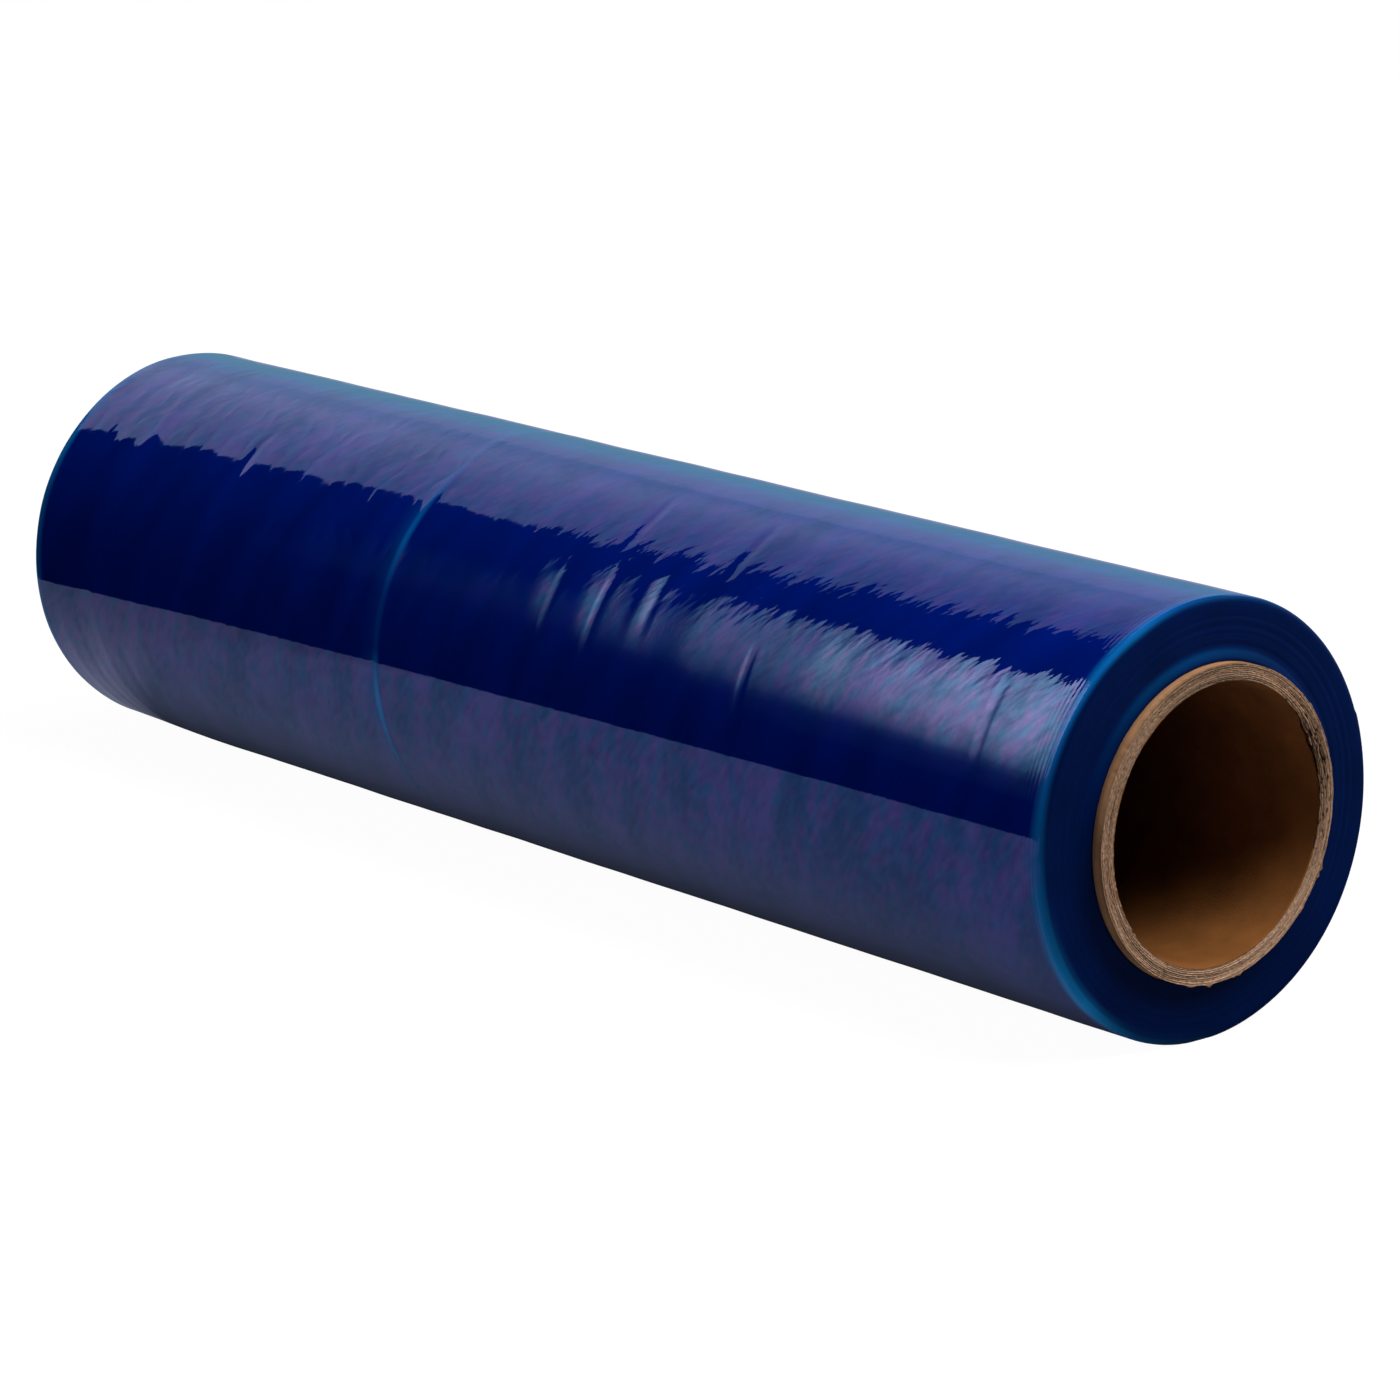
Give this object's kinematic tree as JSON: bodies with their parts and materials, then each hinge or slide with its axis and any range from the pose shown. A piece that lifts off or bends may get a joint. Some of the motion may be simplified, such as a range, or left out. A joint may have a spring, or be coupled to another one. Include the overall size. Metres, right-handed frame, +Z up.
{
  "type": "stretch wrap roll",
  "caption": "Roll of blue stretch film wound on a cardboard core that stands out at both ends, lying on its side on a small flat spot.",
  "frame": {"origin": "middle of the flat spot on the roll's underside, on the surface that it lies on", "axes": "+X along the roll's axis, away from the end at which the loose turns are drawn in underneath; +Z up; -Y to the front"},
  "size_m": [0.4672, 0.1199, 0.1191],
  "materials": {
    "film": "clear blue LLDPE stretch film, wound tight: deep glossy navy, cyan where only a few turns are seen through",
    "core_board": "spiral wound brown board with a rough sawn end"
  },
  "bodies": {
    "root": {"film_roll": "film", "core_tube": "core_board"}
  },
  "joints": []
}
